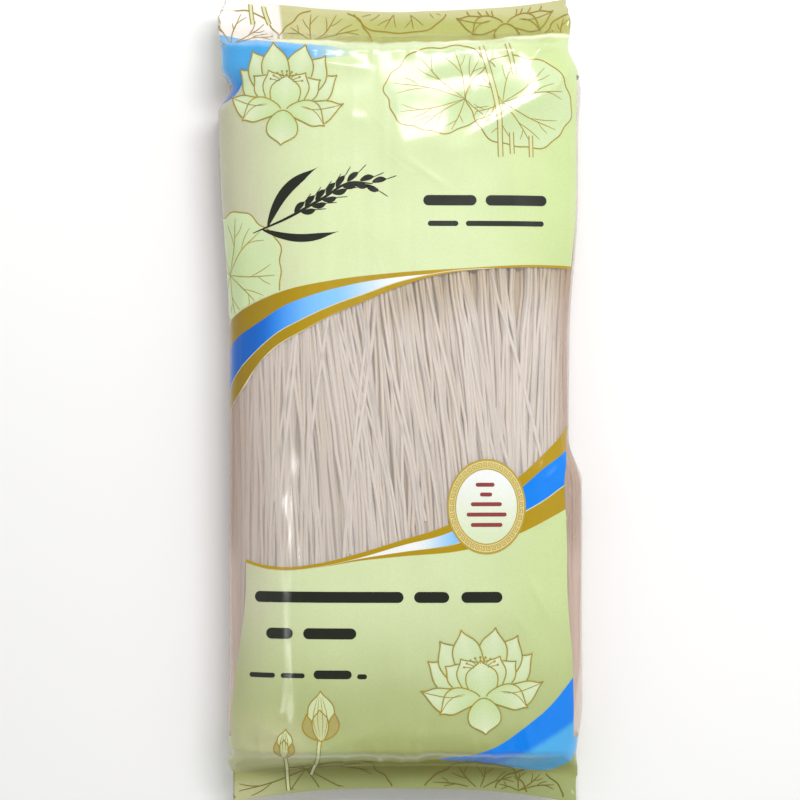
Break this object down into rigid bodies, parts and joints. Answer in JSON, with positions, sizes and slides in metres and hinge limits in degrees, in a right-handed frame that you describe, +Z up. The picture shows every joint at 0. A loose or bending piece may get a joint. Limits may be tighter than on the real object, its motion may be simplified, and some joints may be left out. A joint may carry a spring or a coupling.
{
  "type": "bag of dried rice vermicelli",
  "caption": "Sealed printed film bag with a curved clear window, filled with a straight bundle of dried rice vermicelli, lying on its back.",
  "frame": {"origin": "centre of the bag's footprint, on the surface it lies on", "axes": "+Y along the bag towards its top end, +X across it to the right of the printed face, +Z up out of the printed face"},
  "size_m": [0.1222, 0.2698, 0.0356],
  "materials": {
    "printed_film": "thin glossy printed film",
    "clear_film": "clear thin glossy film",
    "noodles": "dry translucent rice strands, satin"
  },
  "bodies": {
    "root": {"sealed_bag": "printed_film"}
  },
  "joints": []
}
